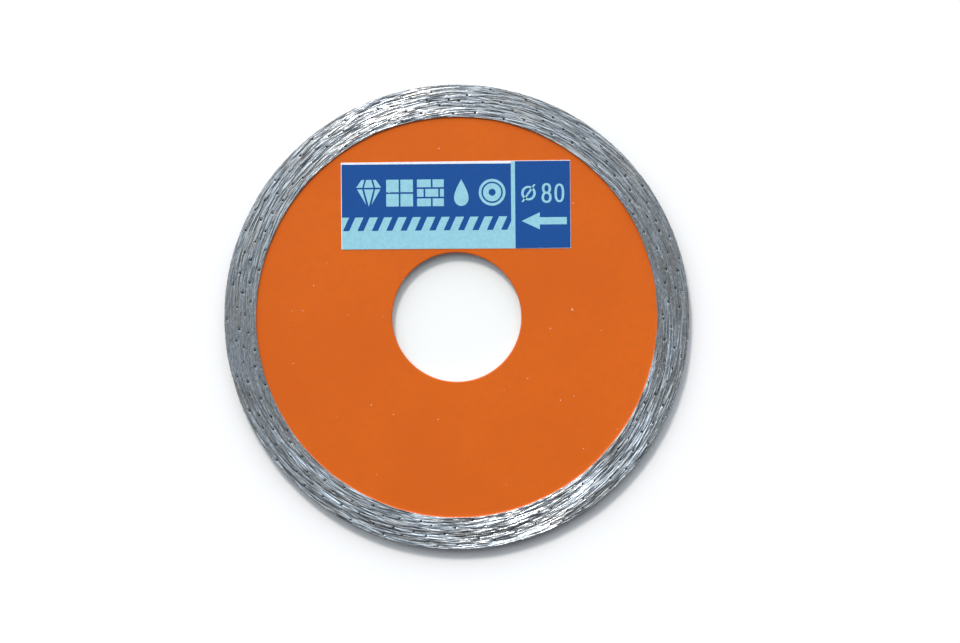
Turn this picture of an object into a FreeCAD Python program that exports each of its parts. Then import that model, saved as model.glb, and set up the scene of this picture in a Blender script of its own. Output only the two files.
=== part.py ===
import FreeCAD, Part
import math
import os
import random

import Sketcher

# A continuous-rim diamond blade for cutting tiles, lying flat with its printed side up.
# The origin is the centre of the bore, halfway through the thickness, and +Z is the axis it spins about.
# Seen from +Z it runs anticlockwise, as the arrow on its label says.

SIZES = [
    ("blade_diameter", 80.0, "outside diameter, the size the blade is sold by"),
    ("rim_thickness", 2.0, "sintered rim, face to face"),
    ("rim_depth", 5.5, "radial width of rim that shows on a face"),
    ("rim_chamfer", 0.1, "edge break on the rim's two outer corners"),
    ("core_thickness", 1.2, "sheet steel blank"),
    ("bore_diameter", 22.2, "for a 22 mm arbor"),
    ("bore_chamfer", 0.1, "deburring on both sides of the bore"),
    ("tongue_depth", 2.2, "how far the blank runs on inside the rim"),
    ("key_count", 36, "dovetail notches round the blank's edge, filled by the rim"),
    ("key_depth", 1.4, "radial depth of a notch"),
    ("key_mouth", 1.5, "width of a notch at the blank's edge"),
    ("key_root", 2.3, "width of a notch at its bottom"),
    ("enamel_thickness", 0.05, "paint on each face of the blank"),
    ("label_width", 39.4, "sticker"),
    ("label_height", 15.0, "sticker"),
    ("label_thickness", 0.1, "sticker"),
    ("label_rise", 19.25, "centre of the sticker above the centre of the bore"),
    ("label_shift", -0.15, "centre of the sticker to the side of the bore"),
    ("label_tilt", 0.5, "degrees the sticker was stuck on askew"),
    ("crystal_reach", 0.19, "diamond, centre to tip"),
    ("crystal_sink", 0.08, "depth of a diamond's centre under the ground surface"),
    ("face_crystals", 200, "diamonds showing on one face"),
    ("edge_crystals", 100, "diamonds showing on the cutting edge"),
    ("buried_crystals", 160, "diamonds further in, a sample of the thousands there"),
]
GOLDEN = (math.sqrt(5) - 1) / 2
ANGLE_JITTER = 0.65  # share of its own slot that a diamond may move in, so neighbours never touch
FACE_MARGIN = 0.35  # rim left clear inside and outside the band of face diamonds
EDGE_BAND = 0.8  # width, across the thickness, of the band of edge diamonds
BURIED_BAND = 0.8  # the same for the buried ones
BURIED_MARGIN = 0.3  # radial room between buried diamonds and the blank's edge
BURIED_COVER = 0.6  # radial depth of the outermost buried diamonds under the cutting edge
SPANNING = 1.0  # how far a notch's outline runs past the blank's edge

doc = FreeCAD.newDocument("DiamondBlade")
sheet = doc.addObject("Spreadsheet::Sheet", "Sizes")
for row, (alias, value, note) in enumerate(SIZES, start=1):
    sheet.set("A%d" % row, alias)
    sheet.set("B%d" % row, str(value))
    sheet.set("C%d" % row, note)
    sheet.setAlias("B%d" % row, alias)
doc.recompute()

BLADE_RADIUS = "Sizes.blade_diameter / 2"
RIM_INNER = "Sizes.blade_diameter / 2 - Sizes.rim_depth"
CORE_RADIUS = "Sizes.blade_diameter / 2 - Sizes.rim_depth + Sizes.tongue_depth"


def bind(thing, path, formula):
    """Ties one size of an object to the sheet."""
    thing.setExpression(path, formula)


def new_body(name):
    body = doc.addObject("PartDesign::Body", name)
    body.Label = name
    return body


def origin_feature(body, role):
    """One of the body's own planes or axes, such as XY_Plane."""
    return [f for f in body.Origin.OriginFeatures if f.Role == role][0]


def flat_sketch(body, name):
    """An empty sketch on the body's own XY plane."""
    sketch = body.newObject("Sketcher::SketchObject", name)
    sketch.AttachmentSupport = [(origin_feature(body, "XY_Plane"), "")]
    sketch.MapMode = "FlatFace"
    return sketch


def add_circle(sketch, radius_formula):
    """A circle about the sketch's origin."""
    circle = Part.Circle(FreeCAD.Vector(0, 0, 0), FreeCAD.Vector(0, 0, 1), 10.0 + sketch.GeometryCount)
    index = sketch.addGeometry(circle)
    sketch.addConstraint(Sketcher.Constraint("Coincident", index, 3, -1, 1))
    size = sketch.addConstraint(Sketcher.Constraint("Radius", index, circle.Radius))
    bind(sketch, "Constraints[%d]" % size, radius_formula)


def add_four_sides(sketch, corners):
    """Four lines joined end to end, the first and the third of them upright and balanced about the X axis."""
    for start, end in zip(corners, corners[1:] + corners[:1]):
        sketch.addGeometry(Part.LineSegment(FreeCAD.Vector(*start, 0), FreeCAD.Vector(*end, 0)))
    for line in range(4):
        sketch.addConstraint(Sketcher.Constraint("Coincident", line, 2, (line + 1) % 4, 1))
    for line in (0, 2):
        sketch.addConstraint(Sketcher.Constraint("Symmetric", line, 1, line, 2, -1))


def add_upright(sketch, line, place_formula, height_formula, place, height):
    """Sets where an upright line stands along X, and how tall it is."""
    where = sketch.addConstraint(Sketcher.Constraint("DistanceX", -1, 1, line, 1, place))
    tall = sketch.addConstraint(Sketcher.Constraint("Distance", line, height))
    bind(sketch, "Constraints[%d]" % where, place_formula)
    bind(sketch, "Constraints[%d]" % tall, height_formula)


def pad(body, sketch, name, length_formula, symmetric):
    feature = body.newObject("PartDesign::Pad", name)
    feature.Profile = sketch
    feature.SideType = "Symmetric" if symmetric else "One side"
    bind(feature, "Length", length_formula)
    doc.recompute()
    return feature


def round_edges(shape, radius):
    """Names of the shape's whole circular edges of that radius about Z."""
    found = []
    for number, edge in enumerate(shape.Edges, start=1):
        circle = edge.Curve
        if isinstance(circle, Part.Circle) and abs(circle.Radius - radius) < 1e-6:
            if math.hypot(circle.Center.x, circle.Center.y) < 1e-6:
                found.append("Edge%d" % number)
    return found


def chamfer(body, feature, name, radius, size_formula):
    cut = body.newObject("PartDesign::Chamfer", name)
    cut.Base = (feature, round_edges(feature.Shape, radius))
    bind(cut, "Size", size_formula)
    doc.recompute()
    return cut


def make_core():
    """The stamped steel blank: a disc with the bore in its middle and dovetail notches round its edge."""
    body = new_body("steel_core")
    outline = flat_sketch(body, "core_outline")
    add_circle(outline, CORE_RADIUS)
    add_circle(outline, "Sizes.bore_diameter / 2")
    disc = pad(body, outline, "core_disc", "Sizes.core_thickness", True)

    notch = flat_sketch(body, "key_outline")
    edge = sheet.blade_diameter / 2 - sheet.rim_depth + sheet.tongue_depth
    bottom = edge - sheet.key_depth
    past = edge + SPANNING
    # The sides go on at the same slope past the blank's edge, so the notch has its stated mouth there.
    taper = "(Sizes.key_root - Sizes.key_mouth) / Sizes.key_depth"
    past_width = sheet.key_mouth - SPANNING * (sheet.key_root - sheet.key_mouth) / sheet.key_depth
    root_half, past_half = sheet.key_root / 2, past_width / 2
    add_four_sides(
        notch, [(bottom, -root_half), (bottom, root_half), (past, past_half), (past, -past_half)]
    )
    add_upright(notch, 0, CORE_RADIUS + " - Sizes.key_depth", "Sizes.key_root", bottom, sheet.key_root)
    add_upright(
        notch, 2, CORE_RADIUS + " + %g" % SPANNING,
        "Sizes.key_mouth - %g * %s" % (SPANNING, taper), past, past_width,
    )
    cut = body.newObject("PartDesign::Pocket", "key_notch")
    cut.Profile = notch
    cut.SideType = "Symmetric"
    cut.Type = "ThroughAll"
    doc.recompute()
    ring = body.newObject("PartDesign::PolarPattern", "key_ring")
    ring.Originals = [cut]
    ring.Axis = (origin_feature(body, "Z_Axis"), [""])
    bind(ring, "Occurrences", "Sizes.key_count")
    body.Tip = ring
    doc.recompute()
    assert disc.Shape.Volume > cut.Shape.Volume > ring.Shape.Volume, "the notches cut nothing"
    body.Tip = chamfer(body, ring, "bore_break", sheet.bore_diameter / 2, "Sizes.bore_chamfer")
    return body


def make_rim_blank():
    """The rim before anything is let into it: a flat ring with its outer corners broken."""
    body = new_body("rim_blank")
    outline = flat_sketch(body, "rim_outline")
    add_circle(outline, BLADE_RADIUS)
    add_circle(outline, RIM_INNER)
    ring = pad(body, outline, "rim_ring", "Sizes.rim_thickness", True)
    body.Tip = chamfer(body, ring, "rim_break", sheet.blade_diameter / 2, "Sizes.rim_chamfer")
    return body


def make_enamel(name, height_formula):
    """One coat of paint, from the bore's chamfer out to the rim."""
    body = new_body(name)
    outline = flat_sketch(body, name + "_outline")
    add_circle(outline, RIM_INNER)
    add_circle(outline, "Sizes.bore_diameter / 2 + Sizes.bore_chamfer")
    pad(body, outline, name + "_coat", "Sizes.enamel_thickness", False)
    bind(body, "Placement.Base.z", height_formula)
    return body


def make_label():
    """The sticker on the front, between the bore and the rim."""
    body = new_body("label")
    outline = flat_sketch(body, "label_outline")
    half_width, half_height = sheet.label_width / 2, sheet.label_height / 2
    add_four_sides(
        outline,
        [(-half_width, half_height), (-half_width, -half_height),
         (half_width, -half_height), (half_width, half_height)],
    )
    for line, sign in ((0, "-"), (2, "")):
        place = half_width if sign == "" else -half_width
        add_upright(
            outline, line, sign + "Sizes.label_width / 2", "Sizes.label_height", place, sheet.label_height
        )
    pad(body, outline, "label_film", "Sizes.label_thickness", False)
    body.Placement = FreeCAD.Placement(
        FreeCAD.Vector(0, 0, 0), FreeCAD.Rotation(FreeCAD.Vector(0, 0, 1), sheet.label_tilt)
    )
    bind(body, "Placement.Base.x", "Sizes.label_shift")
    bind(body, "Placement.Base.y", "Sizes.label_rise")
    bind(body, "Placement.Base.z", "Sizes.core_thickness / 2 + Sizes.enamel_thickness")
    return body


def octahedron(reach):
    """A diamond crystal: eight equal faces, with its six tips that far from the centre."""
    tips = [FreeCAD.Vector(*(sign * reach if k == axis else 0 for k in range(3)))
            for axis in range(3) for sign in (1, -1)]
    faces = []
    for x_tip in tips[0:2]:
        for y_tip in tips[2:4]:
            for z_tip in tips[4:6]:
                faces.append(Part.Face(Part.makePolygon([x_tip, y_tip, z_tip, x_tip])))
    return Part.makeSolid(Part.makeShell(faces))


def crystal_places(count, seed, inner, outer):
    """A (degrees, radius, share) place in each of count equal slots round a ring, the share from 0 to 1.
    The golden ratio spreads neighbours over the ring's width."""
    dice = random.Random(seed)
    places = []
    for slot in range(count):
        angle = (slot + ANGLE_JITTER * dice.random()) * 360.0 / count
        across = (slot * GOLDEN + 0.2 * dice.random()) % 1.0
        radius = math.sqrt(inner ** 2 + across * (outer ** 2 - inner ** 2))
        places.append((angle, radius, dice.random()))
    return places


def set_crystals(name, seed, places):
    """A group of crystals, each turned its own way, at (angle, radius, height) places."""
    dice = random.Random(seed)
    crystal = octahedron(sheet.crystal_reach)
    solids = []
    for angle, radius, height in places:
        turn = FreeCAD.Rotation(*(360.0 * dice.random() for _ in range(3)))
        centre = FreeCAD.Vector(
            radius * math.cos(math.radians(angle)), radius * math.sin(math.radians(angle)), height
        )
        solid = crystal.copy()
        solid.Placement = FreeCAD.Placement(centre, turn)
        solids.append(solid)
    group = doc.addObject("Part::Feature", name)
    group.Shape = Part.makeCompound(solids)
    return group


def make_crystals():
    """Whole crystals for the front, the back, the cutting edge and the inside of the rim, as four groups."""
    blade_radius = sheet.blade_diameter / 2
    rim_inner = blade_radius - sheet.rim_depth
    band = (rim_inner + FACE_MARGIN, blade_radius - FACE_MARGIN - sheet.rim_chamfer)
    level = sheet.rim_thickness / 2 - sheet.crystal_sink
    groups = []
    for name, seed, side in (("front_crystals", 11, 1), ("back_crystals", 12, -1)):
        places = crystal_places(sheet.face_crystals, seed, *band)
        groups.append(set_crystals(name, seed + 100, [(a, r, side * level) for a, r, _ in places]))
    sunk = blade_radius - sheet.crystal_sink
    places = crystal_places(sheet.edge_crystals, 13, sunk, sunk)
    spread = [(a, r, (share - 0.5) * EDGE_BAND) for a, r, share in places]
    groups.append(set_crystals("edge_crystals_whole", 113, spread))
    inside = (rim_inner + sheet.tongue_depth + BURIED_MARGIN, blade_radius - BURIED_COVER)
    places = crystal_places(sheet.buried_crystals, 14, *inside)
    spread = [(a, r, (share - 0.5) * BURIED_BAND) for a, r, share in places]
    groups.append(set_crystals("grit_buried", 114, spread))
    return groups


def combine(kind, name, base, tool):
    result = doc.addObject(kind, name)
    result.Base = base
    result.Tool = tool
    doc.recompute()
    return result


def check_document():
    """Stops the build where any object of the document has failed."""
    for thing in doc.Objects:
        assert "Invalid" not in thing.State and "Error" not in thing.State, thing.Name + " failed"


def check_part(part):
    """Stops the build where a part has no good solid shape."""
    assert not part.Shape.isNull(), part.Label + " has no shape"
    assert part.Shape.isValid(), part.Label + " has a bad shape"
    assert part.Shape.Solids, part.Label + " holds no solid"


core = make_core()
rim_blank = make_rim_blank()
front_whole, back_whole, edge_whole, grit_buried = make_crystals()
pressed_rim = combine("Part::Cut", "pressed_rim", rim_blank, core)
all_crystals = doc.addObject("Part::Compound", "all_crystals")
all_crystals.Links = [front_whole, back_whole, edge_whole, grit_buried]
doc.recompute()
parts = [
    core,
    combine("Part::Cut", "rim_bond", pressed_rim, all_crystals),
    combine("Part::Common", "grit_front", rim_blank, front_whole),
    combine("Part::Common", "grit_back", rim_blank, back_whole),
    combine("Part::Common", "grit_edge", rim_blank, edge_whole),
    grit_buried,
    make_enamel("enamel_front", "Sizes.core_thickness / 2"),
    make_enamel("enamel_back", "-Sizes.core_thickness / 2 - Sizes.enamel_thickness"),
    make_label(),
]
doc.recompute()

check_document()
for part in parts:
    check_part(part)
os.makedirs("parts", exist_ok=True)
for part in parts:
    part.Shape.exportStep("parts/%s.step" % part.Label)
    box = part.Shape.BoundBox
    print("%-14s %4d solids %9.3f mm3  %.2f x %.2f x %.2f mm, z %.3f to %.3f" % (
        part.Label, len(part.Shape.Solids), part.Shape.Volume,
        box.XLength, box.YLength, box.ZLength, box.ZMin, box.ZMax,
    ))
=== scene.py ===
import math

import bpy
import numpy as np
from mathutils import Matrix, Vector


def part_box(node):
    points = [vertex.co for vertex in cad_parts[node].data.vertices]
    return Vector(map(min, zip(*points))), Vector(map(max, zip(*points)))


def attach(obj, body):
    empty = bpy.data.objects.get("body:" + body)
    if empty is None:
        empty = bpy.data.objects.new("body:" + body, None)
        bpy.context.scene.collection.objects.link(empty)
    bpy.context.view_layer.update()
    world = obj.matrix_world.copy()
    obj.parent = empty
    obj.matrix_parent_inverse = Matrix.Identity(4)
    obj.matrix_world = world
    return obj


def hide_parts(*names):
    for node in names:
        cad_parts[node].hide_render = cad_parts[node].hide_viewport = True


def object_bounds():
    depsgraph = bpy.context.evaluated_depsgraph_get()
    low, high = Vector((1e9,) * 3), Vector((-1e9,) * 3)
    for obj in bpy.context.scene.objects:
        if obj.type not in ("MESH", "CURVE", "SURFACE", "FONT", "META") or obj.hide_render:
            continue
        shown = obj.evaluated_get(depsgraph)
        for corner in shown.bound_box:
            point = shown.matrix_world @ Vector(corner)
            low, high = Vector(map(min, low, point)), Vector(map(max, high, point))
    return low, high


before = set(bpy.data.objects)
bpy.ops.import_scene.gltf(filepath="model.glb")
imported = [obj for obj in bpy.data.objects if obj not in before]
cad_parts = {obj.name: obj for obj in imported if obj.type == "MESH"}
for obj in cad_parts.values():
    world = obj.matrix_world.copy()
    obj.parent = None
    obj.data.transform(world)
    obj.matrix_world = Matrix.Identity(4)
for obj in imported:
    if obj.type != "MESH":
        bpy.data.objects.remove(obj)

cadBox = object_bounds()
mm = 0.001
fullTurn = 2 * math.pi
bladeTop = cadBox[1].z
bladeRadius = max(cadBox[1].x, cadBox[1].y)
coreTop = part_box("enamel_front")[0].z
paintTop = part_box("enamel_front")[1].z
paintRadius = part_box("enamel_front")[1].x
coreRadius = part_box("steel_core")[1].x
print("frame loaded: blade", round(2 * bladeRadius / mm, 2), "mm across")


class Wire:
    # a shader socket in a sum: arithmetic on it adds the Math node that does the same
    def __init__(self, finish, socket):
        self.finish = finish
        self.socket = socket

    def maths(self, operation, *others):
        return self.finish.add("Math", {"operation": operation}, dict(enumerate((self, *others))))

    def __add__(self, other):
        return self.maths("ADD", other)

    __radd__ = __add__

    def __sub__(self, other):
        return self.maths("SUBTRACT", other)

    def __rsub__(self, other):
        return self.maths("MULTIPLY_ADD", -1.0, other)

    def __mul__(self, other):
        return self.maths("MULTIPLY", other)

    __rmul__ = __mul__

    def __truediv__(self, other):
        return self.maths("DIVIDE", other)

    def __abs__(self):
        return self.maths("ABSOLUTE")

    def above(self, limit):
        return self.maths("GREATER_THAN", limit)

    def orMore(self, other):
        return self.maths("MAXIMUM", other)

    def ramp(self, low, high):
        # 0 at low, 1 at high, smooth between; low may be the larger
        values = {"Value": self, "From Min": low, "From Max": high}
        return self.finish.add("MapRange", {"interpolation_type": "SMOOTHSTEP"}, values)


class Finish:
    # one material, whose nodes are all made by add()
    def __init__(self, name, tree=None):
        if tree is None:
            self.material = bpy.data.materials.new(name)
            self.material.use_nodes = True
            tree = self.material.node_tree
        self.tree = tree
        self.tree.nodes.clear()
        self.place = self.add("TexCoord", {}, {}, "Object")
        where = {"Vector": self.place}
        self.x, self.y, self.z = [self.add("SeparateXYZ", {}, where, axis) for axis in "XYZ"]

    def add(self, kind, settings, values, out=0):
        node = self.tree.nodes.new("ShaderNode" + kind)
        for key, value in settings.items():
            setattr(node, key, value)
        for key, value in values.items():
            if isinstance(value, Wire):
                self.tree.links.new(value.socket, node.inputs[key])
            else:
                node.inputs[key].default_value = value
        return Wire(self, node.outputs[out])

    def fromAxis(self):
        # distance from the axis that the blade spins about
        return (self.x * self.x + self.y * self.y).maths("SQRT")

    def vector(self, x, y, z):
        return self.add("CombineXYZ", {}, {"X": x, "Y": y, "Z": z})

    def vectors(self, operation, values):
        return self.add("VectorMath", {"operation": operation}, values)

    def noise(self, where, scale, detail=2.0):
        return self.add("TexNoise", {}, {"Vector": where, "Scale": scale, "Detail": detail})

    def blend(self, share, first, second):
        # share 0 gives the first colour, 1 the second
        return self.add("Mix", {"data_type": "RGBA"}, {0: share, 6: first, 7: second}, 2)

    def bump(self, height, depth, strength=1.0, over=None):
        # height from 0 to 1 stands for that depth
        values = {"Height": height, "Distance": depth, "Strength": strength}
        if over is not None:
            values["Normal"] = over
        return self.add("Bump", {}, values)

    def join(self, shader, output):
        end = self.tree.nodes.new("ShaderNode" + output)
        self.tree.links.new(shader.socket, end.inputs["Surface"])

    def finish(self, values):
        self.join(self.add("BsdfPrincipled", {}, values), "OutputMaterial")
        return self.material


def rgb(red, green, blue):
    # a colour as eyes see it, each part from 0 to 255, made linear
    parts = np.array([red, green, blue]) / 255
    linear = np.where(parts <= 0.04045, parts / 12.92, ((parts + 0.055) / 1.055) ** 2.4)
    return (*linear.tolist(), 1.0)


def addPiece(name, corners, faces, material, smooth=True):
    # faces are rows of corner numbers
    mesh = bpy.data.meshes.new(name)
    mesh.from_pydata(np.asarray(corners).reshape(-1, 3).tolist(), [], [list(face) for face in faces])
    mesh.polygons.foreach_set("use_smooth", np.full(len(mesh.polygons), smooth))
    mesh.materials.append(material)
    mesh.update()
    piece = bpy.data.objects.new(name, mesh)
    bpy.context.scene.collection.objects.link(piece)
    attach(piece, "root")
    return piece


def ringQuads(columns, rows, turnedOver=False):
    # a grid closed both ways, corner (column, row) being number column * rows + row:
    # each quad goes up one row, along one column and back
    column, row = np.meshgrid(np.arange(columns), np.arange(rows), indexing="ij")
    nextColumn, nextRow = (column + 1) % columns, (row + 1) % rows
    ends = [(column, row), (column, nextRow), (nextColumn, nextRow), (nextColumn, row)]
    quads = np.stack([c * rows + r for c, r in ends], -1).reshape(-1, 4)
    return quads[:, ::-1] if turnedOver else quads


def nodePoints(node):
    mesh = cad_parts[node].data
    points = np.empty(3 * len(mesh.vertices))
    mesh.vertices.foreach_get("co", points)
    return points.reshape(-1, 3)


def smoothStep(value):
    share = np.clip(value, 0, 1)
    return share * share * (3 - 2 * share)


def ringNoise(seed, turn, across, length, width, spiral=0.0):
    # random levels from -1 to 1 on a net of cells, that long round the blade and that wide across it,
    # eased between neighbours. Each turn moves the net over by a whole number of cells, so it has no seam
    around = max(3, round(fullTurn * bladeRadius / length))
    over = max(4, round(spiral * fullTurn * bladeRadius / width))
    table = np.random.default_rng(seed).uniform(-1, 1, (around, over))
    turns = turn / fullTurn
    column = turns * around + 0 * across
    row = across / width + (turns * over if spiral else 0 * turns)
    c, r = np.floor(column).astype(int), np.floor(row).astype(int)
    u, v = smoothStep(column - c), smoothStep(row - r)
    low = table[c % around, r % over] * (1 - u) + table[(c + 1) % around, r % over] * u
    high = table[c % around, (r + 1) % over] * (1 - u) + table[(c + 1) % around, (r + 1) % over] * u
    return low * (1 - v) + high * v


# The rim is sintered metal with diamonds in it. Grinding wears the metal down, but each diamond shelters
# a ridge of it behind itself: blunt at the diamond, and fading out further on. The blade runs
# anticlockwise, so the ridges trail clockwise, and they drift outwards. A pit is worn in front of each.
rim = {
    "columns": 1000,
    "faceRows": 85,
    "edgeRows": 8,
    "grainReach": 0.19 * mm,
    "faceGrains": 200,
    "edgeGrains": 100,
    "hiddenGrains": 1100,  # trails whose diamond has broken out, on one face
    "wear": 0.06 * mm,  # depth of the worn metal between the trails
    "drift": math.tan(math.radians(4)),
    # least and most of each trail's size; rise is a share of the wear
    "grainTrail": {"length": (2.5 * mm, 8 * mm), "halfWidth": (0.14 * mm, 0.24 * mm), "rise": (0.8, 1.0)},
    "hiddenTrail": {"length": (4 * mm, 12 * mm), "halfWidth": (0.07 * mm, 0.2 * mm), "rise": (0.25, 0.9)},
    "toothTrail": {"length": (0.8 * mm, 3 * mm), "halfWidth": (0.9 * mm, 1.8 * mm), "rise": (0.3, 1.0)},
    # amount, length and width of the unevenness of the worn metal
    "sway": (0.01 * mm, 5 * mm, 0.5 * mm),  # how far the trails wander sideways
    "streak": (0.01 * mm, 7 * mm, 0.16 * mm),
    "fine": (0.006 * mm, 4 * mm, 0.1 * mm),
    "swell": (0.006 * mm, 11 * mm, 1.6 * mm),
    "teeth": 84,  # ridges that run right across the cutting edge
    "toothHeight": 0.15 * mm,
    "toothFill": 0.85,  # share of that height which a full ridge keeps
    "trailSide": 0.045 * mm,
    "trailTaper": 0.5,  # share of its width that a trail loses by its end
    "trailFade": 0.6,
    "pitDepth": 0.05 * mm,
    "pitLength": 0.16 * mm,
    "lip": 0.9 * mm,  # the rim is less worn than the rest over this width next to the paint
    "lipWear": 0.7,
    "wallWidth": 0.03 * mm,
    "shadedEdgeLane": bladeRadius - bladeTop - 0.02 * mm,  # radius less height, where the painted shade over the cutting edge starts
    # look of the ground metal: length, width and noise detail of each size of streak, and how far it tips
    # the surface. The speck tips it along the grinding, and the others across
    "broad": (9 * mm, 0.9 * mm, 2.0, 0.5),
    "line": (5 * mm, 0.15 * mm, 1.0, 0.75),
    "hair": (3 * mm, 0.04 * mm, 1.0, 2.0),
    "speck": (0.5 * mm, 0.09 * mm, 1.0, 0.3),
    "paleMetal": rgb(204, 209, 212),
    "brownMetal": rgb(178, 173, 166),
    "lineMetal": rgb(158, 161, 163),
    # painted shade: the colour laid into the pits
    "pitShadeMetal": rgb(34, 34, 36),
    # painted shade: the colour laid over the cutting edge and its corner, for their dark outline
    "shadedEdgeMetal": rgb(96, 99, 103),
    "roughness": 0.27,
    "innerRadius": 34.43 * mm,
    "innerWave": (0.045 * mm, 0.03 * mm),
    "cornerBreak": 0.1 * mm,
}


def grainPlaces(node, count, lane):
    # every diamond has a slot of its own round the ring, and its centre is the mean of the corners there.
    # lane says what is measured across the trail: the distance from the axis, or the height
    points = nodePoints(node)
    turn = np.arctan2(points[:, 1], points[:, 0])
    lead = rim["grainReach"] / rim["innerRadius"]
    slot = np.floor((turn + lead) / fullTurn * count).astype(int) % count
    share = np.maximum(np.bincount(slot, minlength=count), 1)
    centre = np.stack([np.bincount(slot, points[:, i], count) / share for i in range(3)], -1)
    across = np.hypot(centre[:, 0], centre[:, 1]) if lane == "radius" else centre[:, 2]
    return {"turn": np.arctan2(centre[:, 1], centre[:, 0]), "across": across}


def hiddenPlaces(seed, count, low, high):
    # one place in each of that many equal slots round the ring, at random in its slot and across the trail
    rng = np.random.default_rng(seed)
    turn = (np.arange(count) + rng.random(count)) * fullTurn / count
    return {"turn": turn, "across": rng.uniform(low, high, count)}


def trails(seed, grains, shape, turn, across, radius, drift, pits):
    # a point looks at the grains in the next slots ahead of it. Behind is how far back from a grain it
    # lies, and aside how far off the trail's middle line. The trail rises at once behind its grain, then
    # fades over its length as a power of what is left of it, and narrows evenly. Returns the tallest trail
    # and the deepest pit, each from 0 to 1
    rng = np.random.default_rng(seed)
    count = len(grains["turn"])
    length, halfWidth, rise = [rng.uniform(*shape[key], count) for key in ("length", "halfWidth", "rise")]
    slot = np.floor(turn / fullTurn * count).astype(int)
    slotsAhead = math.ceil(shape["length"][1] / (fullTurn * radius.min() / count)) + 1
    ridge, pit = np.zeros(across.shape), np.zeros(across.shape)
    for ahead in range(-1, slotsAhead):
        k = (slot + ahead) % count
        apart = (grains["turn"][k] - turn + math.pi) % fullTurn - math.pi
        behind = apart * radius
        aside = across - grains["across"][k] - drift * behind
        along = behind / length[k]
        width = halfWidth[k] * (1 - rim["trailTaper"] * np.clip(along, 0, 1))
        body = smoothStep((width - abs(aside)) / rim["trailSide"] + 0.5)
        blunt = smoothStep(behind / (0.12 * mm) - 0.3)
        left = np.clip(1 - along, 0, 1) ** rim["trailFade"]
        ridge = np.maximum(ridge, rise[k] * body * blunt * left)
        if pits:
            forward, sideways = (behind + 0.18 * mm) / rim["pitLength"], aside / halfWidth[k]
            pit = np.maximum(pit, np.exp(-forward ** 2 - sideways ** 4))
    return ridge, pit


def innerEdge(turn, side):
    # the step down to the paint wanders a little
    slow = ringNoise(31 + side, turn, 0 * turn, 9 * mm, mm)
    quick = ringNoise(41 + side, turn, 0 * turn, 1.6 * mm, mm)
    edge = rim["innerRadius"] + rim["innerWave"][0] * slow + rim["innerWave"][1] * quick
    return np.minimum(edge, paintRadius - 0.01 * mm)


def wornDepth(seed, grains, hidden, turn, across, radius, drift, wear):
    # how far the worn surface lies under the ground one: the wear that the trails don't fill, the pits,
    # and streaks of three sizes. Also how much of a pit each point is, from 0 to 1
    amount, length, width = rim["sway"]
    sway = amount * ringNoise(seed, turn, across, length, width, drift)
    args = (turn, across + sway, radius, drift)
    ridge, pit = trails(seed + 1, grains, rim["grainTrail"], *args, True)
    low, _ = trails(seed + 2, hidden, rim["hiddenTrail"], *args, False)
    depth = wear * (1 - np.maximum(ridge, low)) + rim["pitDepth"] * pit
    for number, size in enumerate(("streak", "fine", "swell")):
        amount, length, width = rim[size]
        depth = depth + amount * (1 + ringNoise(seed + 3 + number, turn, across, length, width, drift))
    return depth, pit


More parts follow.
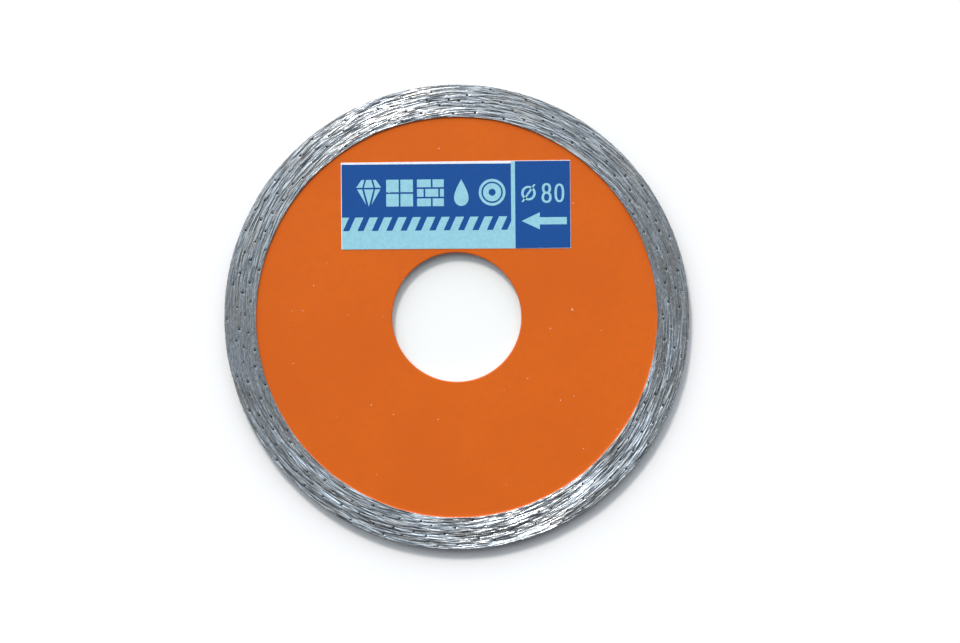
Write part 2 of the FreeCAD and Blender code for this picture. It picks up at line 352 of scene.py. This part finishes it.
def makeRimHalf(name, node, side, material):
    # half of the rim, from the middle of its thickness to one face. Its section is an L round the edge of
    # the blank: up the inner wall, out over the face, round the corner and down the cutting edge, then back
    columns, faceRows, edgeRows = rim["columns"], rim["faceRows"], rim["edgeRows"]
    turn = np.linspace(0, fullTurn, columns, endpoint=False)[:, None]
    inner = innerEdge(turn, side)
    faceOuter = bladeRadius - rim["cornerBreak"]
    edgeTop = bladeTop - rim["cornerBreak"]
    faceInner = inner + rim["wallWidth"]
    faceRadius = faceInner + (faceOuter - faceInner) * np.linspace(0, 1, faceRows)[None, :]
    edgeHeight = side * np.linspace(edgeTop, 0, edgeRows)[None, :] + 0 * turn

    faceGrains = grainPlaces(node, rim["faceGrains"], "radius")
    edgeGrains = grainPlaces("grit_edge", rim["edgeGrains"], "height")
    faceHidden = hiddenPlaces(61 + side, rim["hiddenGrains"], rim["innerRadius"], bladeRadius)
    edgeHidden = hiddenPlaces(71, rim["hiddenGrains"] // 2, -edgeTop, edgeTop)
    fromLip = smoothStep((faceRadius - inner) / rim["lip"])
    faceWear = rim["wear"] * (rim["lipWear"] + (1 - rim["lipWear"]) * fromLip)
    faceArgs = (turn, faceRadius, faceRadius, rim["drift"], faceWear)
    faceDepth, facePit = wornDepth(80 + 10 * side, faceGrains, faceHidden, *faceArgs)
    edgeRadius = np.full(edgeHeight.shape, bladeRadius)
    teeth = hiddenPlaces(72, rim["teeth"], -edgeTop, edgeTop)
    tooth, _ = trails(73, teeth, rim["toothTrail"], turn, edgeHeight, edgeRadius, 0.0, False)
    edgeWear = rim["toothHeight"] * (1 - rim["toothFill"] * tooth)
    edgeArgs = (turn, edgeHeight, edgeRadius, 0.0, edgeWear)
    edgeDepth, edgePit = wornDepth(120, edgeGrains, edgeHidden, *edgeArgs)

    # the two surfaces share the corner: the face's last row sinks with the edge, and the edge's first row
    # with the face
    faceSink = np.zeros(faceRadius.shape)
    faceSink[:, -1] = edgeDepth[:, 0]
    edgeSink = np.zeros(edgeHeight.shape)
    edgeSink[:, 0] = faceDepth[:, -1]
    face = (faceRadius - faceSink, bladeTop - faceDepth)
    edge = (bladeRadius - edgeDepth, abs(edgeHeight) - edgeSink)
    climb = np.array([[0.0, 0.45, 0.85]])
    wall = (inner + rim["wallWidth"] * climb ** 2, coreTop + (face[1][:, :1] - coreTop) * climb)
    seat = (np.full((columns, 2), coreRadius), np.hstack([0 * turn, 0 * turn + coreTop]))
    radius, height = [np.hstack([part[i] for part in (wall, face, edge, seat)]) for i in (0, 1)]
    corners = np.stack([radius * np.cos(turn), radius * np.sin(turn), side * height], -1)
    quads = ringQuads(columns, radius.shape[1], side < 0)
    piece = addPiece(name, corners, quads, material)

    pit = piece.data.attributes.new("pit", "FLOAT", "POINT")
    pit.data.foreach_set("value", np.hstack([0 * wall[0], facePit, edgePit, 0 * seat[0]]).ravel())
    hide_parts("rim_bond")
    print(name, "made:", 2 * len(quads), "triangles")
    return piece


def bondFinish():
    # metal ground in one direction. Seen close, every spot leans across the grinding, and less along it, so
    # the rim shines towards the lamp and away from it, and is dull at its sides
    look = Finish("sinteredBond")
    radius = look.fromAxis()
    lane = radius - abs(look.z)  # grows steadily over the face and down the cutting edge
    pit = look.add("Attribute", {"attribute_name": "pit"}, {}, "Fac")

    def streaks(size):
        # noise stretched round the blade, about 0 on average
        length, width, detail, _ = rim[size]
        around = bladeRadius / length
        where = look.vector(look.x / radius * around, look.y / radius * around, lane / width)
        return look.noise(where, 1.0, detail) - 0.5

    broad, line, hair, speck = [streaks(size) for size in ("broad", "line", "hair", "speck")]
    tip = [rim[size][3] for size in ("broad", "line", "hair", "speck")]
    lean = tip[0] * broad + tip[1] * line + tip[2] * hair
    along = look.vector(look.y / radius, -1.0 * look.x / radius, 0.0)
    facing = look.add("NewGeometry", {}, {}, "Normal")
    across = look.vectors("CROSS_PRODUCT", {0: facing, 1: along})
    sideways = look.vectors("SCALE", {0: across, "Scale": lean})
    forwards = look.vectors("SCALE", {0: along, "Scale": tip[3] * speck})
    ground = look.vectors("ADD", {0: look.vectors("ADD", {0: facing, 1: sideways}), 1: forwards})
    ground = look.vectors("NORMALIZE", {0: ground})

    tone = look.blend(broad.ramp(-0.15, 0.15), rim["paleMetal"], rim["brownMetal"])
    tone = look.blend(line.ramp(-0.2, 0.25), tone, rim["lineMetal"])
    # painted shade: the pits are coloured near black, as if in shadow
    tone = look.blend(pit.ramp(0.25, 0.6), tone, rim["pitShadeMetal"])
    # painted shade: the cutting edge and its corner are coloured dark, as if in shadow
    tone = look.blend(lane.ramp(rim["shadedEdgeLane"], rim["shadedEdgeLane"] + 0.1 * mm), tone, rim["shadedEdgeMetal"])
    rough = rim["roughness"] + 0.1 * line + 0.2 * pit
    return look.finish({"Base Color": tone, "Metallic": 1.0, "Roughness": rough, "Normal": ground})


def grainFinish():
    # dark crystal, cloudy inside, with small facets
    look = Finish("diamondGrain")
    cloud = look.noise(look.place, 2600.0, 2.0)
    tone = look.blend(cloud.ramp(0.35, 0.65), rgb(30, 34, 30), rgb(64, 66, 58))
    facet = look.bump(look.noise(look.place, 12000.0, 1.0), 0.01 * mm)
    return look.finish({"Base Color": tone, "Roughness": 0.12 + 0.2 * cloud, "IOR": 2.4, "Normal": facet})


bond = bondFinish()
rimFront = makeRimHalf("rimFront", "grit_front", 1, bond)
rimBack = makeRimHalf("rimBack", "grit_back", -1, bond)
grain = grainFinish()
for nodeName in ("grit_front", "grit_back", "grit_edge", "grit_buried"):
    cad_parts[nodeName].data.materials.clear()
    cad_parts[nodeName].data.materials.append(grain)
print("rim and diamonds done")


# A coat of stoving enamel on each side of the blank. It is a little fat where it ends at the bore, and
# creeps up the wall of the rim.
enamel = {
    "columns": 720,
    "fatEdge": 0.008 * mm,
    "creep": 0.1 * mm,
    "creepReach": 0.22 * mm,
    "tuck": 0.03 * mm,  # how far it goes in under the rim's worn step
    # where it wraps over the bore's deburred corner: millimetres out from the paint's edge, millimetres up
    # from the steel, and share of the fat edge
    "lip": [(-0.1, -0.1, 0), (-0.09, -0.03, 0), (-0.05, 0.02, 0.3),
            (0.02, 0.048, 1), (0.16, 0.05, 0.8), (0.5, 0.05, 0)],
    "flatRows": 9,
    "climbRows": 7,
    "orange": rgb(209, 91, 2),
    "orangeToo": rgb(215, 96, 4),
    "mottled": rgb(204, 89, 4),
    "dust": rgb(250, 226, 205),
    "darkSpeck": rgb(120, 52, 22),
    # cells in a metre, spot size as a share of a cell, share of the cells left empty, and millimetres that
    # the net is moved by
    "fineDust": (520.0, 0.055, 0.72, 1),
    "coarseDust": (230.0, 0.04, 0.6, 57),
    "darkSpecks": (300.0, 0.035, 0.8, 91),
}


def makeEnamel(name, node, side, material):
    # a section carried round the axis: up over the bore's deburred corner, out over the face, up the rim's
    # wall as the square of the way there, and back underneath
    turn = np.linspace(0, fullTurn, enamel["columns"], endpoint=False)[:, None]
    boreEnd = enamelInner()
    wall = innerEdge(turn, side)
    lip = np.array(enamel["lip"])
    lipRadius = boreEnd + lip[:, 0] * mm
    lipHeight = coreTop + lip[:, 1] * mm + lip[:, 2] * enamel["fatEdge"]
    flat = np.linspace(boreEnd + 1.5 * mm, rim["innerRadius"] - mm, enamel["flatRows"])
    climb = np.linspace(0, 1, enamel["climbRows"])
    climbRadius = wall - enamel["creepReach"] * (1 - climb[None, :])
    climbHeight = paintTop + enamel["creep"] * climb ** 2
    end = wall + enamel["tuck"]
    radius = np.hstack([lipRadius + 0 * turn, flat + 0 * turn, climbRadius, end, end, boreEnd + 0 * turn])
    under = [climbHeight[-1], coreTop, coreTop]
    height = np.hstack([lipHeight, np.full(enamel["flatRows"], paintTop), climbHeight, under]) + 0 * turn
    corners = np.stack([radius * np.cos(turn), radius * np.sin(turn), side * height], -1)
    quads = ringQuads(enamel["columns"], radius.shape[1], side < 0)
    piece = addPiece(name, corners, quads, material)
    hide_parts(node)
    return piece


def enamelInner():
    # the radius where the flat paint ends at the bore
    points = nodePoints("enamel_front")
    return np.hypot(points[:, 0], points[:, 1]).min()


def enamelFinish():
    # even orange with a faint drift and mottle, settled dust and a little orange peel
    look = Finish("orangeEnamel")
    drift = look.noise(look.place, 45.0, 2.0)
    mottle = look.noise(look.place, 900.0, 3.0)
    peel = look.noise(look.place, 1500.0, 1.0)
    tone = look.blend(drift.ramp(0.3, 0.7), enamel["orange"], enamel["orangeToo"])
    tone = look.blend(0.5 * mottle.ramp(0.35, 0.75), tone, enamel["mottled"])

    def specks(scale, size, empty, moved):
        # one spot in each cell of a scattered net, only where the cell's own random shade is above empty
        where = look.vectors("ADD", {0: look.place, 1: (moved * mm, 0.0, 0.0)})
        cells = {"Vector": where, "Scale": scale}
        distance = look.add("TexVoronoi", {}, cells, "Distance")
        shade = look.add("SeparateColor", {}, {0: look.add("TexVoronoi", {}, cells, "Color")}, 0)
        return distance.ramp(size * 1.2, size * 0.6) * shade.above(empty)

    dust = specks(*enamel["fineDust"]).orMore(specks(*enamel["coarseDust"]))
    dark = specks(*enamel["darkSpecks"])
    tone = look.blend(0.55 * dust, tone, enamel["dust"])
    tone = look.blend(0.6 * dark, tone, enamel["darkSpeck"])
    rough = 0.36 + 0.1 * mottle + 0.3 * dust
    relief = look.bump(peel, 0.006 * mm)
    relief = look.bump(dust, 0.02 * mm, over=relief)
    gloss = {"Roughness": rough, "Specular IOR Level": 0.3}
    return look.finish({"Base Color": tone, "Normal": relief, **gloss})


def blankFinish():
    # sheet steel, seen at the wall of the bore: punched, then lightly turned
    look = Finish("blankSteel")
    radius = look.fromAxis()
    around = 14.0
    where = look.vector(look.x / radius * around, look.y / radius * around, look.z / (0.09 * mm))
    turned = look.noise(where, 1.0, 2.0)
    tone = look.blend(turned.ramp(0.3, 0.7), rgb(178, 178, 176), rgb(138, 136, 132))
    return look.finish({
        "Base Color": tone, "Metallic": 1.0, "Roughness": 0.3 + 0.2 * turned,
        "Normal": look.bump(turned, 0.01 * mm),
    })


paint = enamelFinish()
enamelFront = makeEnamel("enamelFront", "enamel_front", 1, paint)
enamelBack = makeEnamel("enamelBack", "enamel_back", -1, paint)
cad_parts["steel_core"].data.materials.clear()
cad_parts["steel_core"].data.materials.append(blankFinish())
print("enamel and blank done")


# The sticker: white film cut a little out of square, printed in dark blue and pale blue. Its places are
# millimetres from its lower left corner, as it is read.
sticker = {
    "film": [(0.0, 0.06), (39.4, -0.06), (39.4, 15.08), (0.0, 14.93)],
    "printLeft": 0.1,
    "printRight": 39.36,
    "printLow": 0.03,
    "printHigh": 14.6,
    "bandHigh": 3.18,
    "hatchHigh": 5.5,
    "hatchStart": 0.27,
    "hatchPitch": 2.47,
    "hatchGap": 1.07,  # dark blue between two pale bars
    "hatchLean": 1.07,
    "hatchCount": 12,
    "hatchClear": 0.01,
    "divider": (29.2, 29.9),
    "signs": {"first": 4.75, "pitch": 5.3, "middle": 9.65, "half": 2.3},
    "figures": {"low": 7.85, "high": 11.05, "stroke": 0.42,
                "signAt": 32.2, "eightAt": 35.3, "noughtAt": 37.5},
    "arrow": {"tip": 31.0, "tail": 38.75, "middle": 4.67, "head": 3.1, "halfHead": 1.47, "halfShaft": 0.62},
    "inkThickness": 0.01 * mm,
    "white": rgb(238, 240, 243),
    "navy": rgb(0, 72, 142),
    "sky": rgb(150, 203, 214),
}
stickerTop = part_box("label")[1].z
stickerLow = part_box("label")[0].z
inkLow = stickerTop - 2 * sticker["inkThickness"]
inkMiddle = stickerTop - sticker["inkThickness"]


def stickerAxes():
    # the lower left corner of the CAD sticker, and its directions along and up
    points = nodePoints("label")[:, :2]
    lowLeft = points[np.argmin(points[:, 0] + points[:, 1])]
    lowRight = points[np.argmax(points[:, 0] - points[:, 1])]
    along = (lowRight - lowLeft) / np.linalg.norm(lowRight - lowLeft)
    return lowLeft, along, np.array([-along[1], along[0]])


stickerCorner, stickerAlong, stickerUp = stickerAxes()


def onSticker(outline, height):
    # an outline in millimetres on the sticker, laid on the blade at that height
    flat = stickerCorner + mm * (outline[:, :1] * stickerAlong + outline[:, 1:] * stickerUp)
    return np.hstack([flat, np.full((len(outline), 1), height)])


def drawIn(outline, amount):
    # moves each side of an anticlockwise outline inwards by that many millimetres
    before, after = outline - np.roll(outline, 1, 0), np.roll(outline, -1, 0) - outline
    before = before / np.linalg.norm(before, axis=1, keepdims=True)
    after = after / np.linalg.norm(after, axis=1, keepdims=True)
    normal = np.stack([-before[:, 1] - after[:, 1], before[:, 0] + after[:, 0]], -1)
    return outline + amount * 2 * normal / (normal ** 2).sum(1, keepdims=True)


def addSlabs(name, plain, rings, low, high, material, softness):
    # plain outlines become closed slabs, whose upper edge is softened by that many millimetres. Rings are
    # pairs of outlines with as many points each, the outer one first, and each stands a hair higher than
    # the one before it
    corners, faces, start = [], [], 0
    for outline in plain:
        outline = np.array(outline, float)
        count = len(outline)
        inset = drawIn(outline, softness)
        shoulder = high - softness * mm / 2
        corners += [onSticker(outline, low), onSticker(outline, shoulder), onSticker(inset, high)]
        here, following = np.arange(count), (np.arange(count) + 1) % count
        for level in (0, count):
            sides = np.stack([here, following, following + count, here + count], -1)
            faces += (sides + level + start).tolist()
        faces += [(here[::-1] + start).tolist(), (here + start + 2 * count).tolist()]
        start += 3 * count
    for number, (outer, inner) in enumerate(rings):
        lift = 0.0008 * mm * number
        stops = [(outer, low), (inner, low), (inner, high + lift), (outer, high + lift)]
        layers = [onSticker(outline, height) for outline, height in stops]
        corners.append(np.stack(layers, 1).reshape(-1, 3))
        faces += (ringQuads(len(outer), 4) + start).tolist()
        start += 4 * len(outer)
    return addPiece(name, np.vstack(corners), faces, material, False)


def rectangle(left, low, right, high):
    return [(left, low), (right, low), (right, high), (left, high)]


def oval(middle, halfWidth, halfHeight, squareness=2.0, count=64):
    # a rounded outline: an ellipse, or squarer than one as squareness grows
    angle = np.linspace(0, fullTurn, count, endpoint=False)
    c, s = np.cos(angle), np.sin(angle)
    x = np.sign(c) * abs(c) ** (2 / squareness) * halfWidth + middle[0]
    y = np.sign(s) * abs(s) ** (2 / squareness) * halfHeight + middle[1]
    return np.stack([x, y], -1)


def hatchBars():
    # pale bars that rise from the band and lean right. The film's edge cuts the first one short, and the
    # last one stops just clear of the divider, so that no two slabs share an edge
    low, high, lean = sticker["bandHigh"], sticker["hatchHigh"], sticker["hatchLean"]
    left, right = sticker["printLeft"], sticker["divider"][0] - sticker["hatchClear"]
    bars = [[(left, low), (sticker["hatchStart"], low), (sticker["hatchStart"] + lean, high), (left, high)]]
    for number in range(sticker["hatchCount"] - 1):
        start = sticker["hatchStart"] + sticker["hatchPitch"] * number + sticker["hatchGap"]
        end = sticker["hatchStart"] + sticker["hatchPitch"] * (number + 1)
        bars.append([(start, low), (end, low), (end + lean, high), (start + lean, high)])
    last = sticker["hatchStart"] + sticker["hatchPitch"] * (sticker["hatchCount"] - 1) + sticker["hatchGap"]
    bars.append([(last, low), (right, low), (right, low + (right - last) / lean * (high - low))])
    return bars


def signOutlines():
    # a row of plain signs for what the blade cuts and how: stone, tile, brick, water, disc
    first, pitch, middle, half = [sticker["signs"][key] for key in ("first", "pitch", "middle", "half")]
    at = [first + pitch * number for number in range(5)]
    gap = 0.13 * half
    girdle, table = middle + 0.42 * half, middle + half
    crown = [(-1.0, -0.42), (-0.42, 0.42), (0.42, 1.0)]
    gem = [[(at[0] + a * half + gap / 2, girdle), (at[0] + b * half - gap / 2, girdle),
            (at[0] + 0.6 * b * half - gap / 2, table), (at[0] + 0.6 * a * half + gap / 2, table)]
           for a, b in crown]
    gem += [[(at[0] + a * half + gap / 2, girdle - gap), (at[0], middle - half),
             (at[0] + b * half - gap / 2, girdle - gap)] for a, b in crown[1:2]]
    gem += [[(at[0] - half + gap, girdle - gap), (at[0] - 0.2 * half, middle - 0.86 * half),
             (at[0] - 0.42 * half - gap / 2, girdle - gap)]]
    gem += [[(at[0] + 0.42 * half + gap / 2, girdle - gap), (at[0] + 0.2 * half, middle - 0.86 * half),
             (at[0] + half - gap, girdle - gap)]]
    tile = [rectangle(at[1] + x, middle + y, at[1] + x + half - gap / 2, middle + y + half - gap / 2)
            for x in (-half, gap / 2) for y in (-half, gap / 2)]
    course = (2 * half - 2 * gap) / 3
    brick = []
    for row, cuts in enumerate([(-1, 0.1, 1), (-1, -0.45, 0.65, 1), (-1, 0.1, 1)]):
        low = middle - half + row * (course + gap)
        for a, b in zip(cuts, cuts[1:]):
            left = at[2] + a * half + (gap / 2 if a > -1 else 0)
            right = at[2] + b * half - (gap / 2 if b < 1 else 0)
            brick.append(rectangle(left, low, right, low + course))
    angle = np.linspace(0, fullTurn, 48, endpoint=False)
    width = 0.74 * half * np.sin(angle / 2) ** 1.3
    drop = [np.stack([at[3] - width * np.sin(angle), middle + half * np.cos(angle)], -1)]
    circles = [oval((at[4], middle), share * half, share * half) for share in (1.0, 0.8, 0.68, 0.26)]
    disc = [(circles[0], circles[1]), (circles[2], circles[3])]
    return gem + tile + brick + drop, disc


def sizeFigures():
    # a diameter sign and the figures 8 and 0, from rings and one bar
    figures = sticker["figures"]
    low, high, stroke = figures["low"], figures["high"], figures["stroke"]
    middle, half = (low + high) / 2, (high - low) / 2

    def loop(x, y, halfWidth, halfHeight, squareness):
        outer = oval((x, y), halfWidth, halfHeight, squareness)
        return outer, oval((x, y), halfWidth - stroke, halfHeight - stroke * 0.85, squareness)

    rings = [
        loop(figures["signAt"], middle, 1.25, 1.25, 2.0),
        loop(figures["eightAt"], middle + 0.49 * half, 0.78, 0.51 * half + 0.1, 2.3),
        loop(figures["eightAt"], middle - 0.46 * half, 0.86, 0.54 * half + 0.1, 2.3),
        loop(figures["noughtAt"], middle, 0.84, half, 2.4),
    ]
    bar = [(30.95, middle - 1.5), (31.35, middle - 1.5), (33.45, middle + 1.5), (33.05, middle + 1.5)]
    return [bar], rings


def turnArrow():
    # points the way that the blade runs: half of its outline, and the same mirrored
    tip, tail, middle, head, halfHead, halfShaft = sticker["arrow"].values()
    upper = [(tail, middle + halfShaft), (tip + head, middle + halfShaft), (tip + head, middle + halfHead)]
    lower = [(x, 2 * middle - y) for x, y in upper[::-1]]
    return [upper + [(tip, middle)] + lower]


def printFinish(name, colour, fleck):
    # an even colour with a faint unevenness of the ink, and pinholes where the film shows
    look = Finish(name)
    uneven = look.noise(look.place, 1800.0, 3.0)
    cells = {"Vector": look.place, "Scale": 420.0}
    distance = look.add("TexVoronoi", {}, cells, "Distance")
    shade = look.add("SeparateColor", {}, {0: look.add("TexVoronoi", {}, cells, "Color")}, 1)
    pinhole = distance.ramp(0.06, 0.03) * shade.above(0.86)
    dull = (*[0.9 * part for part in colour[:3]], 1.0)
    tone = look.blend(uneven.ramp(0.3, 0.7), colour, dull)
    tone = look.blend(0.8 * pinhole, tone, fleck)
    relief = look.bump(look.noise(look.place, 700.0, 1.0), 0.004 * mm)
    gloss = {"Roughness": 0.38 + 0.14 * uneven, "Specular IOR Level": 0.35}
    return look.finish({"Base Color": tone, "Normal": relief, **gloss})


def makeSticker():
    # the film, then two layers of ink: dark blue and the pale band, with the pale signs over them
    thin = sticker["inkThickness"] / mm
    left, right = sticker["printLeft"], sticker["printRight"]
    low, high, bandHigh = sticker["printLow"], sticker["printHigh"], sticker["bandHigh"]
    divider = sticker["divider"]
    white = printFinish("stickerFilm", sticker["white"], rgb(200, 200, 200))
    navy = printFinish("navyInk", sticker["navy"], rgb(190, 205, 225))
    sky = printFinish("skyInk", sticker["sky"], rgb(235, 240, 245))
    film = addSlabs("stickerFilm", [sticker["film"]], [], stickerLow, inkLow, white, 0.02)
    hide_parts("label")
    panels = [rectangle(left, bandHigh, divider[1], high), rectangle(divider[1], 0.0, right, 14.98)]
    band = [rectangle(left, low, divider[1], bandHigh)]
    columns = [rectangle(divider[0], bandHigh, divider[1], 14.95)]
    signs, signRings = signOutlines()
    figures, figureRings = sizeFigures()
    addSlabs("navyPanels", panels, [], inkLow, inkMiddle, navy, thin / 4)
    addSlabs("skyBand", band, [], inkLow, inkMiddle, sky, thin / 4)
    addSlabs("skyHatch", hatchBars() + columns, [], inkMiddle, stickerTop, sky, thin / 4)
    addSlabs("materialSigns", signs, signRings, inkMiddle, stickerTop, sky, thin / 4)
    addSlabs("sizeFigures", figures, figureRings, inkMiddle, stickerTop, sky, thin / 4)
    addSlabs("turnArrow", turnArrow(), [], inkMiddle, stickerTop, sky, thin / 4)


makeSticker()
print("sticker done")


# The studio: a pale floor under the rim, one lamp high behind the blade, and soft light from all round.
studio = {
    "floorSize": 4.0,
    "lampTurn": math.radians(110),
    "lampHeight": math.radians(44),
    "lampPower": 1.7,
    "lampColour": (1.0, 0.96, 0.93),
    "lampWidth": math.radians(11),
    # the sky: a glow round the lamp, dark overhead, and lower down pale blue on the lamp's side, dim
    # opposite it and at right angles, with an even band just over the horizon
    "skyTurn": math.radians(103),  # where the low sky is brightest
    "glow": (1.5, 1.68, 1.9, 1.0),
    "glowTightness": 4.0,
    "overhead": (0.02, 0.02, 0.02, 1.0),
    "lampSide": (3.2, 3.7, 4.1, 1.0),
    "farSide": (0.12, 0.15, 0.2, 1.0),
    "otherSide": (0.32, 0.33, 0.32, 1.0),
    "horizon": (0.8, 0.86, 0.92, 1.0),
    "horizonShare": 0.8,
    # painted shade: the floor's colour near the blade and under it
    "floorShadedNear": (0.92, 0.89, 0.84, 1.0),
    "floorFar": (0.98, 0.935, 0.9, 1.0),
    "lens": 200.0,
    "viewWidth": 164.9 * mm,
    "viewMiddle": (4.0 * mm, -0.75 * mm),
}


def makeFloor():
    # pale, with painted shade: a little darker near the blade and under it
    half = studio["floorSize"] / 2
    mesh = bpy.data.meshes.new("floor")
    corners = [(-half, -half, 0), (half, -half, 0), (half, half, 0), (-half, half, 0)]
    mesh.from_pydata(corners, [], [(0, 1, 2, 3)])
    floor = bpy.data.objects.new("floor", mesh)
    floor.location.z = cadBox[0].z
    bpy.context.scene.collection.objects.link(floor)
    look = Finish("paleFloor")
    soft = look.noise(look.place, 14.0, 2.0)
    away = look.fromAxis().ramp(0.01, 0.06)
    tone = look.blend(away + 0.1 * (soft - 0.5), studio["floorShadedNear"], studio["floorFar"])
    mesh.materials.append(look.finish({"Base Color": tone, "Roughness": 0.8 + 0.1 * soft}))


def makeLights():
    # a lamp as wide as a softbox, and a sky whose light goes by direction: aligned is how far it points to
    # the bright side, rise how far up, and share the square of the first among level directions
    lamp = bpy.data.lights.new("lamp", "SUN")
    lamp.energy = studio["lampPower"]
    lamp.color = studio["lampColour"]
    lamp.angle = studio["lampWidth"]
    holder = bpy.data.objects.new("lamp", lamp)
    holder.rotation_euler = (0, math.pi / 2 - studio["lampHeight"], studio["lampTurn"])
    bpy.context.scene.collection.objects.link(holder)
    world = bpy.data.worlds.new("studioSky")
    world.use_nodes = True
    sky = Finish("studioSky", world.node_tree)
    seen = sky.add("TexCoord", {}, {}, "Generated")
    rise = sky.add("SeparateXYZ", {}, {"Vector": seen}, "Z")
    inLine = (math.cos(studio["skyTurn"]), math.sin(studio["skyTurn"]), 0.0)
    lean, lift = math.cos(studio["lampHeight"]), math.sin(studio["lampHeight"])
    aligned = sky.add("VectorMath", {"operation": "DOT_PRODUCT"}, {0: seen, 1: inLine}, "Value")
    nearLamp = (aligned * lean + rise * lift).orMore(0.0).maths("POWER", studio["glowTightness"])
    flat = 1.0 - rise * rise
    share = aligned * abs(aligned) / (flat + 0.001)
    low = sky.blend(share.ramp(0.0, 0.4), studio["otherSide"], studio["lampSide"])
    low = sky.blend(share.ramp(0.0, -0.4), low, studio["farSide"])
    light = sky.blend(flat, studio["overhead"], low)
    light = sky.blend(nearLamp, light, studio["glow"])
    light = sky.blend(studio["horizonShare"] * abs(rise).ramp(0.3, 0.05), light, studio["horizon"])
    background = sky.add("Background", {}, {"Color": light})
    sky.join(background, "OutputWorld")
    bpy.context.scene.world = world


def makeCamera():
    # looks straight down, from where the lens takes in the width of the view
    lens = bpy.data.cameras.new("camera")
    lens.lens = studio["lens"]
    lens.clip_start = 0.01
    camera = bpy.data.objects.new("camera", lens)
    distance = studio["viewWidth"] * lens.lens / lens.sensor_width
    camera.location = (*studio["viewMiddle"], bladeTop + distance)
    bpy.context.scene.collection.objects.link(camera)
    bpy.context.scene.camera = camera
    bpy.context.scene.view_settings.view_transform = "Standard"


makeFloor()
makeLights()
makeCamera()
bpy.context.view_layer.update()
print("stage done")
